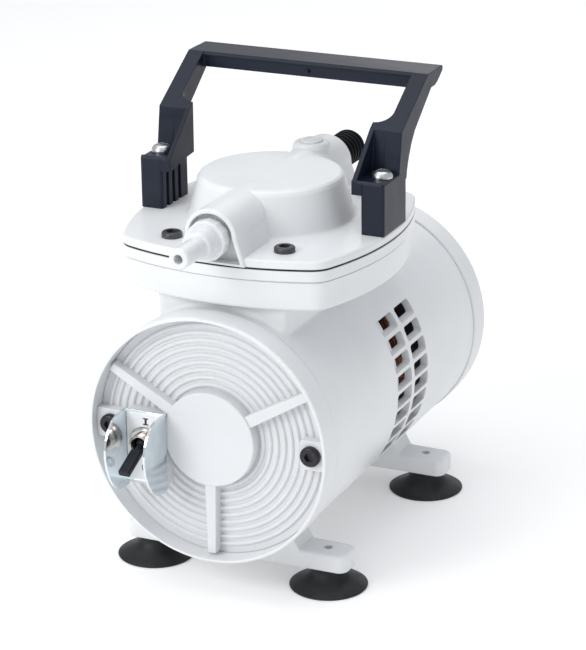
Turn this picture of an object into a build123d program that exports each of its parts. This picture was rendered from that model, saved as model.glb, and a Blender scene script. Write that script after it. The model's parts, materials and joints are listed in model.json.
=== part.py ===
from build123d import *
import math
import os

# Small portable diaphragm vacuum and pressure pump: a round motor housing with a
# square head flange above it, a domed valve head, a carrying handle and four
# suction feet.  Lengths in millimetres, +Z up, the front cover faces -Y.
#
# Everything is first laid out from the front rim plane of the housing (y = 0) and
# is shifted by -Y_MID when written, so the origin is on the ground, under the
# middle of the overall length.

os.makedirs("parts", exist_ok=True)

# ---------------------------------------------------------------- driving sizes
R_BODY = 60.0            # outer radius of the motor housing
Z_AX = 78.5              # height of the motor shaft axis
L_BODY = 205.2           # overall length of housing and rear cap
SEAM_Y = 189.0           # housing ends here, the rear cap starts
R_IN = 56.0              # inner radius of the housing
R_TUBE = 59.3            # body radius behind the front collar
COLLAR_Y, R_RIM_IN = 13.0, 58.5   # rear edge of the front collar, bore at the rim
R_VENT = 55.4            # bore behind the air slots
VENT_Z, VENT_DZ, VENT_H = 113.6, 8.85, 7.0   # top edge of the highest slot, pitch, slot height
TIP_Y = -22.0            # front end of the inlet spigot
Y_MID = (TIP_Y + L_BODY) / 2

HEAD_Y = 75.7            # centre of the pump head and of the crank
HX, HY, R_SIDE, R_CORNER = 62.5, 65.5, 130.0, 12.0   # head outline: half sizes, side bulge, corner
Z_JOINT = 161.0          # top of the housing flange
T_DIAPH = 1.0            # diaphragm thickness
Z_PLATE = 165.7          # top of the head plate
Z_DOME = 187.1           # top of the dome
R_DOME_TOP, R_DOME_BASE = 33.8, 39.0
Z_PORT = 173.8           # height of the inlet and outlet axis
PORT_Y0 = 11.0           # datum of the two port sockets
FACE_Y0 = 9.9            # front face of the inlet port block, proud of the plate

E = 2.5                  # crank offset, so the stroke is 5 mm
Z_CRANK = Z_AX - E       # crank pin height, at bottom dead centre
R_SHAFT = 5.0
R_JOURNAL = 10.0

FOOT_X = 45.5
FOOT_YS = (35.3, 158.9)
LEG_Z0, LEG_Z1, LEG_W, LEG_X = 10.5, 19.0, 16.5, 57.3

SW_X, SW_Z = -31.5, 74.0     # toggle switch axis
LEVER_DEG = 23.3             # lever droop in the off position
PIVOT_Y = -2.0

HSCREW = ((28.4, 28.0), (-28.4, 28.0), (28.4, 2 * HEAD_Y - 28.0), (-28.4, 2 * HEAD_Y - 28.0))
GRIP_SCREW = (56.6, 74.8)


# ---------------------------------------------------------------- helpers
def ycyl(r, y0, y1, x=0.0, z=Z_AX):
    return Pos(x, (y0 + y1) / 2, z) * Rot(90, 0, 0) * Cylinder(r, y1 - y0)


def zcyl(r, z0, z1, x=0.0, y=0.0):
    return Pos(x, y, (z0 + z1) / 2) * Cylinder(r, z1 - z0)


def box(x0, x1, y0, y1, z0, z1):
    return Pos((x0 + x1) / 2, (y0 + y1) / 2, (z0 + z1) / 2) * Box(x1 - x0, y1 - y0, z1 - z0)


def prism_x(pts_yz, x0, x1):
    # closed polygon in the YZ plane, pushed along +X
    w = Wire.make_polygon([Vector(x0, y, z) for y, z in pts_yz], close=True)
    return extrude(Face(w), amount=x1 - x0, dir=(1, 0, 0))


def prism_y(pts_xz, y0, y1):
    w = Wire.make_polygon([Vector(x, y0, z) for x, z in pts_xz], close=True)
    return extrude(Face(w), amount=y1 - y0, dir=(0, 1, 0))


def spin_y(pts_ry, x=0.0, z=Z_AX):
    # profile of (radius, y) turned about the line along Y through (x, z)
    w = Wire.make_polygon([Vector(r + x, y, z) for r, y in pts_ry], close=True)
    return revolve(Face(w), axis=Axis((x, 0, z), (0, 1, 0)))


def spin_z(pts_rz, x=0.0, y=0.0):
    w = Wire.make_polygon([Vector(r + x, y, z) for r, z in pts_rz], close=True)
    return revolve(Face(w), axis=Axis((x, y, 0), (0, 0, 1)))


def outline(inset=0.0):
    # square with four bulged sides and rounded corners
    hx, hy, r = HX - inset, HY - inset, R_SIDE - inset
    s = (Pos(hx - r, 0) * Circle(r)) & (Pos(r - hx, 0) * Circle(r))
    s = s & (Pos(0, hy - r) * Circle(r)) & (Pos(0, r - hy) * Circle(r))
    return fillet(s.vertices(), max(R_CORNER - inset, 2.0))


def slab(z0, z1, inset=0.0, taper=0.0):
    # head outline between two heights, narrowing downwards when tapered
    pl = Plane(origin=(0, HEAD_Y, z1), x_dir=(1, 0, 0), z_dir=(0, 0, -1))
    return extrude(pl * outline(inset), amount=z1 - z0, taper=taper)


def solids(*shapes):
    out = []
    for s in shapes:
        out += list(s.solids())
    return out


def emit(name, *shapes):
    # each node is one solid, or a group of identical separate solids
    parts = solids(*shapes)
    parts = [Pos(0, -Y_MID, 0) * p for p in parts]
    whole = parts[0] if len(parts) == 1 else Compound(parts)
    export_step(whole, "parts/" + name + ".step")
    print(name, len(parts), round(sum(p.volume for p in parts) / 1000, 3), "cm3")


def hexbar(af, z0, z1, x, y, spin=0.0):
    return Pos(x, y, z0) * Rot(0, 0, spin) * extrude(RegularPolygon(af / math.sqrt(3), 6), amount=z1 - z0)


def hexbar_y(af, y0, y1, x, z, spin=0.0):
    h = extrude(RegularPolygon(af / math.sqrt(3), 6), amount=y1 - y0)
    return Pos(x, y1, z) * Rot(90, 0, 0) * Rot(0, 0, spin) * h


def polar(r, deg):
    # point on a circle about the shaft axis, as (x, z)
    a = math.radians(deg)
    return r * math.cos(a), Z_AX + r * math.sin(a)


# ---------------------------------------------------------------- motor housing
tube = ycyl(R_TUBE, 6, SEAM_Y)
tube = chamfer(tube.edges().filter_by(GeomType.CIRCLE).sort_by(Axis.Y)[-1], 0.5)
collar = ycyl(R_BODY + 0.2, 0, COLLAR_Y)
collar = fillet(collar.edges().filter_by(GeomType.CIRCLE).sort_by(Axis.Y)[0], 1.1)

neck = box(-33, 33, 19.6, 2 * HEAD_Y - 19.6, Z_AX + 20, 146)
neck = fillet(neck.edges().filter_by(Axis.Z), 3.2)


def at_joint(e, test):
    # true when five points of an edge all pass the test
    return all(test(e @ t) for t in (0, 0.25, 0.5, 0.75, 1))


body = tube + neck
seam = [e for e in body.edges() if at_joint(e, lambda p: abs(math.hypot(p.X, p.Z - Z_AX) - R_TUBE) < 0.05 and 15 < p.Y < 140 and p.Z > 105 and abs(p.X) < 40)]
body = fillet(seam, 2.0)

wall = slab(141.6, 155.4, inset=0.7, taper=4)
wall = fillet(wall.edges().group_by(Axis.Z)[0], 1.6)
lip = slab(156.0, Z_JOINT)
lip = fillet(lip.edges().group_by(Axis.Z)[0], 0.4)
groove = slab(155.2, 156.2, inset=1.1)
body = body + wall
under = [e for e in body.edges() if at_joint(e, lambda p: abs(p.Z - 141.6) < 0.02 and abs(p.X) < 33.2 and 19.3 < p.Y < 132.2)]
body = fillet(under, 1.3)

# saddle rails under the body, each carrying two feet
rails = []
for fy in FOOT_YS:
    half = [(0, LEG_Z0), (LEG_X, LEG_Z0), (LEG_X, LEG_Z1), (34.0, LEG_Z1 + 0.3), (28.5, 28.5), (0, 30)]
    prof = half + [(-x, z) for x, z in reversed(half[1:-1])]
    rail = prism_y(prof, fy - LEG_W / 2, fy + LEG_W / 2)
    ends = [e for e in rail.edges().filter_by(Axis.Z) if abs(abs(e.center().X) - LEG_X) < 0.01]
    rail = fillet(ends, 4.5)
    tops = [e for e in rail.edges() if abs(e.center().X) > LEG_X - 6 and e.center().Z > LEG_Z1 - 0.3]
    rail = fillet(tops, 1.6)
    rails.append(rail)

housing = body + collar + groove + lip
for rail in rails:
    housing = housing + rail

housing = housing - ycyl(R_RIM_IN, -1, 12.0)
housing = housing - ycyl(53.5, 11.9, 18.1)
housing = housing - ycyl(R_IN, 18, 90)
housing = housing - ycyl(R_VENT, 95, 136) - ycyl(R_IN, 135.9, SEAM_Y + 1)

# crank opening: from the round bore up through the neck into the diaphragm chamber
well = box(-27, 27, 30, 2 * HEAD_Y - 30, Z_AX + 30, 147)
well = fillet(well.edges().filter_by(Axis.Z), 6)
housing = housing - (well & box(-40, 40, 30, 90, 60, 150))
housing = housing - (well & box(-40, 40, 89, 125, Z_AX + 62, 150))
housing = housing - zcyl(45, 146, Z_JOINT + 1, 0, HEAD_Y)

# front bearing hub on the bulkhead, wire window and air windows
housing = housing + (ycyl(20, 87, 98))
housing = housing - ycyl(12.6, 86, 99) - ycyl(15.02, 89, 99)
for a in (15, 75, 105, 255, 285):
    wx, wz = polar(38, a)
    housing = housing - ycyl(7.5, 86, 98, wx, wz)
wx, wz = polar(49, 195)
housing = housing - ycyl(4.5, 86, 98, wx, wz)

# posts for the stator bolts and bosses for the rear cap screws
for a in (45, 135, 225, 315):
    px, pz = polar(51.5, a)
    housing = housing + (ycyl(5, 94, 137.6, px, pz) - ycyl(2.1, 110, 138, px, pz))
for a in (0, 90, 180, 270):
    px, pz = polar(51.6, a)
    housing = housing + (ycyl(5, 180.5, SEAM_Y, px, pz) - ycyl(2.1, 181, 190, px, pz))

# air slots in both sides, two columns of eight
for k in range(8):
    z1 = VENT_Z - VENT_DZ * k
    for y0, y1 in ((87.8, 105.6), (109.1, 126.2)):
        slot = box(38, 70, y0, y1, z1 - VENT_H, z1)
        slot = fillet(slot.edges().filter_by(Axis.X), 1.6)
        if y0 < 90:
            # the front column stops at the bulkhead inside
            slot = slot - ycyl(R_IN + 0.2, 87, 96)
        housing = housing - slot - mirror(slot, about=Plane.YZ)

# screw holes: head, handle, cover, feet, cord grommet
for sx, sy in HSCREW:
    housing = housing - zcyl(2.05, 147.8, Z_JOINT + 1, sx, sy)
for s in (1, -1):
    housing = housing - zcyl(2.05, 148.8, Z_JOINT + 1, s * GRIP_SCREW[0], GRIP_SCREW[1])
for s in (1, -1):
    px = s * 51.0
    housing = housing + (ycyl(5.2, 12.0, 24, px, Z_AX) & ycyl(R_BODY - 1, 11, 30)) - ycyl(1.75, 11, 22.5, px, Z_AX)
for fy in FOOT_YS:
    for s in (1, -1):
        housing = housing - zcyl(4.1, LEG_Z0 - 1, 16.0, s * FOOT_X, fy) - zcyl(2.0, 15, LEG_Z1 + 1, s * FOOT_X, fy)
GROM = Pos(0, 48, Z_AX) * Rot(0, 155, 0)     # radial, low on the -X side
housing = housing - GROM * Pos(R_BODY, 0, 0) * Rot(0, 90, 0) * Cylinder(6.1, 16)
emit("motor_housing", housing)

# ---------------------------------------------------------------- front cover
R_COVER = R_RIM_IN - 0.15
cover = ycyl(R_COVER, 9.6, 11.9)
for k in range(9):
    rk = 24.9 + 3.6 * k
    ring = spin_y([(rk - 1.25, 9.8), (rk - 0.95, 8.95), (rk - 0.55, 8.5), (rk, 8.35), (rk + 0.55, 8.5), (rk + 0.95, 8.95), (rk + 1.25, 9.8)])
    cover = cover + ring
boss = ycyl(22.9, 3.0, 10)
boss = fillet(boss.edges().filter_by(GeomType.CIRCLE).sort_by(Axis.Y)[0], 0.8)
for a in (30, 150, 270):
    w = Wire.make_polygon([Vector(20, 3.9, 2.9), Vector(57.0, 3.9, 2.1), Vector(57.0, 3.9, -2.1), Vector(20, 3.9, -2.9)], close=True)
    spoke = extrude(Face(w), amount=6.5, dir=(0, 1, 0))
    spoke = fillet([e for e in spoke.edges() if abs(e.center().Y - 3.9) < 0.01 and abs(e.center().X - 38.5) < 1], 0.5)
    cover = cover + Pos(0, 0, Z_AX) * Rot(0, -a, 0) * spoke
cover = cover + boss
pad = fillet(box(-41.4, -21.6, 2.2, 11, 51.5, 88.0).edges().filter_by(Axis.Y), 1.0)
cover = cover + pad
for s in (1, -1):
    ear = fillet(box(45.4, 60, 4.4, 11, Z_AX - 7.2, Z_AX + 7.2).edges().filter_by(Axis.Y), 1.6) & ycyl(R_COVER, 3, 12)
    cover = cover + (ear if s > 0 else mirror(ear, about=Plane.YZ))
    cover = cover - ycyl(2.15, 2, 13, s * 51.0, Z_AX)
cover = cover - ycyl(5.3, 1, 13, SW_X, SW_Z)
emit("front_cover", cover)

screws = []
for s in (1, -1):
    head = ycyl(4.85, 1.6, 4.35, s * 51.0, Z_AX)
    head = fillet(head.edges().filter_by(GeomType.CIRCLE).sort_by(Axis.Y)[0], 1.3)
    head = head - hexbar_y(4.0, 0.5, 3.3, s * 51.0, Z_AX)
    screws.append(head + ycyl(1.7, 4.3, 21.5, s * 51.0, Z_AX))
emit("front_cover_screws", *screws)

# ---------------------------------------------------------------- toggle switch group
bezel = box(-42, -21, 1.2, 2.15, 53.0, 88.5)
ear_pts = [(2.15, 88.5), (-8.5, 88.5), (-12.5, 87.2), (-15.8, 84.2), (-18.6, 80.0), (-20.1, 75.5), (-20.1, 71.0),
           (-18.9, 65.5), (-16.4, 59.8), (-12.8, 55.0), (-8.0, 51.7), (-3.0, 50.6), (2.15, 50.6)]
ear_l = prism_x(ear_pts, -42.0, -41.0)
ear_r = prism_x(ear_pts, -22.0, -21.0)
guard = bezel + ear_l + ear_r
guard = guard - ycyl(5.3, 0, 3, SW_X, SW_Z)
emit("switch_guard_bracket", guard)

label = box(-40.7, -22.3, 0.85, 1.15, 54.2, 87.3) - ycyl(6.9, 0, 3, SW_X, SW_Z)
emit("switch_label", label)

sw_body = fillet(box(SW_X - 6.5, SW_X + 6.5, 12.2, 33, SW_Z - 13.5, SW_Z + 13.5).edges().filter_by(Axis.Y), 1.5)
emit("toggle_switch_body", sw_body)
tabs = [box(SW_X - 3.2, SW_X + 3.2, 33.05, 42, SW_Z + dz - 0.4, SW_Z + dz + 0.4) for dz in (-9, 0, 9)]
emit("switch_terminals", *tabs)

# threaded bushing with a flared mouth for the lever
bush = spin_y([(4.4, 12.1), (4.9, 12.1), (4.9, -5.2), (4.5, -5.8), (4.25, -5.8), (2.9, -3.2), (3.45, -2.0), (3.45, 2.5), (2.0, 4.5), (2.0, 12.1)], SW_X, SW_Z)
emit("toggle_bushing", bush)
nut = hexbar_y(12.6, -2.0, 0.3, SW_X, SW_Z, 12) - ycyl(5.0, -4, 3, SW_X, SW_Z)
nut = nut & spin_y([(0, 0.3), (7.25, 0.3), (7.25, -1.5), (6.4, -2.0), (0, -2.0)], SW_X, SW_Z)
emit("toggle_nut", nut)
washer = ycyl(6.6, 0.35, 0.8, SW_X, SW_Z) - ycyl(5.05, 0, 2, SW_X, SW_Z)
emit("toggle_lock_washer", washer)

# lever: ball in the bushing, thin neck, flat bat paddle, drooping in the off position
ball = Pos(SW_X, PIVOT_Y, SW_Z) * Sphere(2.75)
rod_n = Pos(SW_X, PIVOT_Y, SW_Z) * Rot(90 + LEVER_DEG, 0, 0) * Pos(0, 0, 3.5) * Cylinder(1.6, 7.0)
bat = Box(5.6, 3.0, 14.4)
bat = fillet(bat.edges().filter_by(Axis.Z), 0.7)
bat = Pos(SW_X, PIVOT_Y, SW_Z) * Rot(90 + LEVER_DEG, 0, 0) * Pos(0, 0, 13.2) * bat
lever = ball + rod_n + bat
emit("toggle_lever", lever)

# ---------------------------------------------------------------- rear end cap
cap = ycyl(R_BODY, SEAM_Y + 0.3, L_BODY)
cap = fillet(cap.edges().filter_by(GeomType.CIRCLE).sort_by(Axis.Y)[-1], 3.4)
cap = chamfer(cap.edges().filter_by(GeomType.CIRCLE).sort_by(Axis.Y)[0], 0.5)
cap = cap - ycyl(R_IN, SEAM_Y, L_BODY - 3.6)
cap = cap + ycyl(14.5, SEAM_Y + 0.3, L_BODY - 3) - ycyl(11.02, SEAM_Y, 198.4) - ycyl(6, SEAM_Y, 200.5)
for a in (0, 90, 180, 270):
    px, pz = polar(51.6, a)
    cap = cap + ((ycyl(5.2, SEAM_Y + 0.3, L_BODY - 3, px, pz)) & ycyl(58, 180, L_BODY))
    cap = cap - ycyl(2.2, 180, L_BODY + 1, px, pz) - ycyl(4.6, L_BODY - 3.2, L_BODY + 1, px, pz)
for k in range(16):
    a = 11.25 + 22.5 * k
    sl = Pos(0, L_BODY - 2, Z_AX) * Rot(0, -a, 0) * Pos(33.5, 0, 0) * fillet(Box(17, 8, 3.4).edges().filter_by(Axis.Y), 1.5)
    cap = cap - sl
emit("rear_end_cap", cap)
rs = []
for a in (0, 90, 180, 270):
    px, pz = polar(51.6, a)
    h = ycyl(3.9, L_BODY - 3.1, L_BODY - 0.6, px, pz) - hexbar_y(3.0, L_BODY - 2.0, L_BODY, px, pz)
    rs.append(h + ycyl(2.0, 184, L_BODY - 3.0, px, pz))
emit("rear_cap_screws", *rs)

# ---------------------------------------------------------------- motor inside
core = (ycyl(55.7, 138, 178) & box(-50.5, 50.5, 130, 185, Z_AX - 50.5, Z_AX + 50.5)) - ycyl(24.7, 130, 185)
bars = []
for k in range(12):
    a = 30 * k + 15
    sl = Pos(0, 158, Z_AX) * Rot(0, -a, 0) * Pos(35, 0, 0) * Box(15, 60, 8)
    core = core - sl
    bars.append(Pos(0, 158, Z_AX) * Rot(0, -a, 0) * Pos(35, 0, 0) * Box(14.4, 41, 7.4))
for a in (45, 135, 225, 315):
    px, pz = polar(51.5, a)
    core = core - ycyl(2.2, 130, 185, px, pz)
emit("stator_core", core)

coil = spin_y([(28.5, 137.6), (28.5, 129), (31, 126), (43, 126), (46, 129), (46, 134), (44, 137.6)])
coil = coil + spin_y([(28.5, 178.4), (28.5, 184), (31, 187), (42, 187), (45, 184), (45, 181), (43.5, 178.4)])
for b in bars:
    coil = coil + b
emit("stator_windings", coil)

sb = []
for a in (45, 135, 225, 315):
    px, pz = polar(51.5, a)
    sb.append(ycyl(3.6, 178.1, 181.0, px, pz) + ycyl(2.0, 114, 178.2, px, pz))
emit("stator_bolts", *sb)

fb = ycyl(15, 89.1, 97.6) - ycyl(R_SHAFT + 0.05, 88, 99)
fb = fb - (ycyl(12.6, 88, 89.8) - ycyl(7.4, 88, 90)) - (ycyl(12.6, 96.9, 99) - ycyl(7.4, 96, 100))
emit("front_bearing", fb)
rb = ycyl(11, 189.8, 196.8) - ycyl(4.05, 188, 199)
rb = rb - (ycyl(9.2, 188, 190.4) - ycyl(5.8, 188, 191)) - (ycyl(9.2, 196.2, 199) - ycyl(5.8, 196, 200))
emit("rear_bearing", rb)
wv = ycyl(10.6, 197.0, 197.6) - ycyl(7.4, 196, 199)
emit("bearing_wave_washer", wv)

# rotor group
shaft = ycyl(R_SHAFT, 66.5, 99.5) + ycyl(6.0, 99.4, 188.2) + ycyl(4.0, 188.0, 198.0)
shaft = shaft - box(-8, 8, 66, 79, Z_AX + 4.3, Z_AX + 8)
emit("motor_shaft", shaft)

rcore = ycyl(24.0, 140, 176) - ycyl(6.02, 138, 178)
for k in range(18):
    cx, cz = polar(21.3, 20 * k)
    rcore = rcore - ycyl(1.2, 139, 177, cx, cz)
emit("rotor_core", rcore)
er = []
for y0, y1 in ((133.6, 139.9), (176.1, 182.0)):
    ringy = ycyl(23.2, y0, y1) - ycyl(16.0, y0 - 1, y1 + 1)
    er.append(ringy)
emit("rotor_end_rings", *er)

fan = ycyl(10.5, 101, 117) - ycyl(6.02, 100, 118)
fan = fan + (ycyl(42.0, 115.0, 116.6) - ycyl(9.5, 114, 118))
for k in range(11):
    blade = Pos(0, 109.2, Z_AX) * Rot(0, -360 / 11 * k, 0) * Pos(26.2, 0, 0) * Rot(0, 14, 0) * Box(29.5, 12, 1.5)
    fan = fan + (blade & ycyl(42.0, 100, 118))
emit("cooling_fan", fan)
fc = ycyl(8.4, 117.3, 118.2) - ycyl(6.03, 116, 120) - box(-2.5, 2.5, 116, 120, Z_AX, Z_AX + 12)
emit("fan_retaining_clip", fc)

ecc = ycyl(R_JOURNAL, 70.0, 80.6, 0, Z_CRANK)
hubc = ycyl(12.5, 80.5, 85.6)
cw = (ycyl(27.0, 80.5, 85.6) & box(-30, 30, 80, 86, Z_AX + 2, Z_AX + 30))
ecc = ecc + hubc + cw - ycyl(R_SHAFT + 0.02, 66, 90)
ecc = ecc - (ycyl(12, 70.6, 71.7, 0, Z_CRANK) - ycyl(9.2, 70, 72, 0, Z_CRANK))
ecc = ecc - zcyl(2.05, Z_AX + 4, Z_AX + 30, 0, 83.05)
emit("crank_eccentric", ecc)
ss = zcyl(2.0, Z_AX + 5.1, Z_AX + 14, 0, 83.05) - hexbar(2.0, Z_AX + 12, Z_AX + 15, 0, 83.05)
emit("crank_set_screw", ss)
rr = ycyl(12.0, 70.65, 71.65, 0, Z_CRANK) - ycyl(9.25, 70, 72, 0, Z_CRANK) - box(-2, 2, 70, 72, Z_CRANK - 14, Z_CRANK)
emit("crank_retaining_ring", rr)

# ---------------------------------------------------------------- connecting rod group
rod = ycyl(20.5, 71.9, 79.5, 0, Z_CRANK)
shank = prism_y([(-9.5, Z_CRANK + 14), (9.5, Z_CRANK + 14), (6.2, 149), (-6.2, 149)], 71.9, 79.5)
shank = shank - box(-3.4, 3.4, 71, 73.6, Z_CRANK + 26, 142) - box(-3.4, 3.4, 77.8, 80, Z_CRANK + 26, 142)
rod = rod + shank + spin_z([(0, 148), (8, 148), (15, 152.5), (15, 155.8), (0, 155.8)], 0, HEAD_Y)
rod = rod - ycyl(16.02, 71, 80, 0, Z_CRANK) - zcyl(2.6, 138, 156, 0, HEAD_Y)
emit("connecting_rod", rod)
br = ycyl(16.0, 72.2, 79.2, 0, Z_CRANK) - ycyl(R_JOURNAL + 0.05, 71, 81, 0, Z_CRANK)
br = br - (ycyl(14.4, 71, 72.7, 0, Z_CRANK) - ycyl(11.7, 71, 73, 0, Z_CRANK))
emit("rod_bearing", br)

ZC = Z_JOINT - E                                   # underside of the clamped centre at rest
bw = zcyl(22, ZC - 2.6, ZC - 0.05, 0, HEAD_Y)
bw = fillet(bw.edges().group_by(Axis.Z)[-1], 0.9) - zcyl(2.7, 150, 165, 0, HEAD_Y)
emit("diaphragm_backing_washer", bw)
cl = zcyl(24, ZC + T_DIAPH + 0.05, ZC + T_DIAPH + 1.9, 0, HEAD_Y)
cl = fillet(cl.edges().group_by(Axis.Z)[0], 0.7)
cl = cl - zcyl(2.7, 150, 165, 0, HEAD_Y)
cl = cl - spin_z([(0, ZC + T_DIAPH + 0.2), (2.7, ZC + T_DIAPH + 0.2), (5.1, ZC + T_DIAPH + 1.95), (5.1, ZC + 6), (0, ZC + 6)], 0, HEAD_Y)
emit("diaphragm_clamp_plate", cl)
cs = spin_z([(0, 140), (2.5, 140), (2.5, ZC + T_DIAPH + 0.3), (4.9, ZC + T_DIAPH + 1.9), (0, ZC + T_DIAPH + 1.9)], 0, HEAD_Y)
cs = cs - hexbar(3.0, ZC + T_DIAPH, ZC + 6, 0, HEAD_Y)
emit("diaphragm_clamp_screw", cs)

# ---------------------------------------------------------------- diaphragm and head
dia = slab(Z_JOINT + 0.02, Z_JOINT + T_DIAPH - 0.02, inset=0.45) - zcyl(44.5, 150, 170, 0, HEAD_Y)
z0 = Z_JOINT + 0.02
t = T_DIAPH - 0.04
dish = spin_z([(2.8, ZC + 0.02), (24, ZC + 0.02), (27, ZC + 0.3), (40, z0 - 0.3), (43, z0), (44.6, z0),
               (44.6, z0 + t), (42.6, z0 + t), (39.6, z0 + t - 0.3), (26.6, ZC + 0.3 + t), (23.6, ZC + t), (2.8, ZC + t)], 0, HEAD_Y)
dia = dia + dish
for sx, sy in HSCREW:
    dia = dia - zcyl(2.6, 150, 170, sx, sy)
for s in (1, -1):
    dia = dia - zcyl(2.6, 150, 170, s * GRIP_SCREW[0], GRIP_SCREW[1])
emit("diaphragm", dia)

Z_HEAD0 = Z_JOINT + T_DIAPH
plate = slab(Z_HEAD0, Z_PLATE)
plate = fillet(plate.edges().group_by(Axis.Z)[-1], 1.3)
dome = spin_z([(0, Z_HEAD0), (R_DOME_BASE + 3.0, Z_HEAD0), (R_DOME_BASE + 3.0, Z_PLATE - 0.1), (R_DOME_BASE + 1.5, Z_PLATE + 0.2),
               (R_DOME_BASE + 0.5, Z_PLATE + 0.8), (R_DOME_BASE - 0.1, Z_PLATE + 1.7), (R_DOME_BASE - 0.45, Z_PLATE + 2.9),
               (R_DOME_TOP + 0.9, Z_DOME - 2.6), (R_DOME_TOP, Z_DOME - 1.1), (R_DOME_TOP - 1.2, Z_DOME - 0.3),
               (R_DOME_TOP - 2.8, Z_DOME), (0, Z_DOME)], 0, HEAD_Y)
head = plate + dome


def arch(r_top, w_bot, y0, y1, z_bot=Z_HEAD0):
    # port block: round top, sides opening out downwards
    zc = 187.5 - 13.0
    left = (-w_bot, z_bot)
    right = (w_bot, z_bot)
    base = Wire([Edge.make_line(Vector(left[0], y0, left[1]), Vector(right[0], y0, right[1])),
                 Edge.make_line(Vector(right[0], y0, right[1]), Vector(r_top, y0, zc)),
                 Edge.make_three_point_arc(Vector(r_top, y0, zc), Vector(0, y0, zc + r_top), Vector(-r_top, y0, zc)),
                 Edge.make_line(Vector(-r_top, y0, zc), Vector(left[0], y0, left[1]))])
    return extrude(Face(base), amount=y1 - y0, dir=(0, 1, 0))


blk = arch(13.0, 17.0, FACE_Y0, HEAD_Y - 20)
blk = fillet([e for e in blk.edges() if abs(e.center().Y - FACE_Y0) < 0.01 and e.center().Z > Z_HEAD0 + 1], 1.2)
blk_r = mirror(blk, about=Plane(origin=(0, HEAD_Y, 0), z_dir=(0, 1, 0)))
head = head + blk + blk_r
# raised plug seat on the rear block
head = head + spin_z([(0, 175), (10.5, 175), (9.2, 186.5), (8.4, 188.2), (7.4, 188.9), (0, 188.9)], 0, 122.0)
# keep the top of the head free of anything below the dome inside
head = head & (slab(Z_HEAD0, 195) + box(-20, 20, FACE_Y0 - 0.01, 2 * HEAD_Y - FACE_Y0 + 0.01, Z_HEAD0, 195))
# working chamber, valve plate seat, two plenums with a wall between
head = head - spin_z([(0, Z_HEAD0 - 1), (44, Z_HEAD0 - 1), (44, Z_HEAD0), (31.2, 167.3), (31.2, 172.6), (0, 172.6)], 0, HEAD_Y)
plen = spin_z([(0, 172.5), (27.5, 172.5), (27.5, 180.5), (24.5, 183.6), (0, 183.6)], 0, HEAD_Y)
head = head - (plen - box(-40, 40, HEAD_Y - 3.2, HEAD_Y + 3.2, 170, 190))
# port sockets, threads and passages
for s in (1, -1):
    def fy(v):
        return v if s > 0 else 2 * HEAD_Y - v
    if s > 0:
        # arch-shaped pocket round the inlet
        head = head - arch(10.9, 14.7, FACE_Y0 - 1, PORT_Y0 + 4.5, 163.0)
    else:
        head = head - ycyl(9.75, fy(PORT_Y0 + 4.5), fy(PORT_Y0 - 3), 0, Z_PORT)
    a, b = sorted((fy(PORT_Y0 + 4), fy(PORT_Y0 + 17)))
    head = head - ycyl(5.0, a, b, 0, Z_PORT)
    a, b = sorted((fy(PORT_Y0 + 16), fy(HEAD_Y - 25)))
    head = head - ycyl(3.0, a, b, 0, 176.2)
# second service port under the plug
head = head - zcyl(3.2, 174, 190, 0, 122.0) - zcyl(5.6, 187.9, 190, 0, 122.0)
for sx, sy in HSCREW:
    head = head - zcyl(2.6, 160, 170, sx, sy)
for s in (1, -1):
    head = head - zcyl(2.6, 160, 170, s * GRIP_SCREW[0], GRIP_SCREW[1])
for sx in (-20, 0, 20):
    head = head - zcyl(1.35, 172, 179, sx, HEAD_Y)
emit("head_cover", head)

hs = []
for sx, sy in HSCREW:
    h = zcyl(4.9, Z_PLATE + 0.05, Z_PLATE + 2.6, sx, sy)
    h = fillet(h.edges().group_by(Axis.Z)[-1], 1.1) - hexbar(5.0, Z_PLATE + 0.9, Z_PLATE + 4, sx, sy, 10)
    hs.append(h + zcyl(2.0, 149, Z_PLATE + 0.5, sx, sy))
emit("head_screws", *hs)

vp = zcyl(31.0, 167.4, 171.9, 0, HEAD_Y)
vp = vp - fillet(box(-7.5, 7.5, 50.5, 71.8, 166, 169.9).edges().filter_by(Axis.Z), 0.6)
for hx, hy in ((-2.7, 58), (2.7, 58), (0, 62.8)):
    vp = vp - zcyl(1.9, 166, 175, hx, hy)
for hx, hy in ((-2.7, 94), (2.7, 94), (0, 89.2)):
    vp = vp - zcyl(1.9, 166, 175, hx, hy)
for sx in (-20, 0, 20):
    vp = vp - zcyl(1.6, 166, 175, sx, HEAD_Y)
    vp = vp - spin_z([(0, 167.3), (3.0, 167.3), (1.5, 168.9), (0, 168.9)], sx, HEAD_Y)
emit("valve_plate", vp)
vs = []
for sx in (-20, 0, 20):
    vs.append(spin_z([(0, 167.5), (2.8, 167.5), (1.3, 169.0), (1.3, 178), (0, 178)], sx, HEAD_Y))
emit("valve_plate_screws", *vs)
vg = zcyl(30.8, 171.95, 172.55, 0, HEAD_Y) - zcyl(27.6, 171, 174, 0, HEAD_Y)
vg = vg + (box(-27.7, 27.7, HEAD_Y - 3.0, HEAD_Y + 3.0, 171.95, 172.45))
for sx in (-20, 0, 20):
    vg = vg - zcyl(1.6, 171, 174, sx, HEAD_Y)
emit("valve_gasket", vg)

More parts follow.
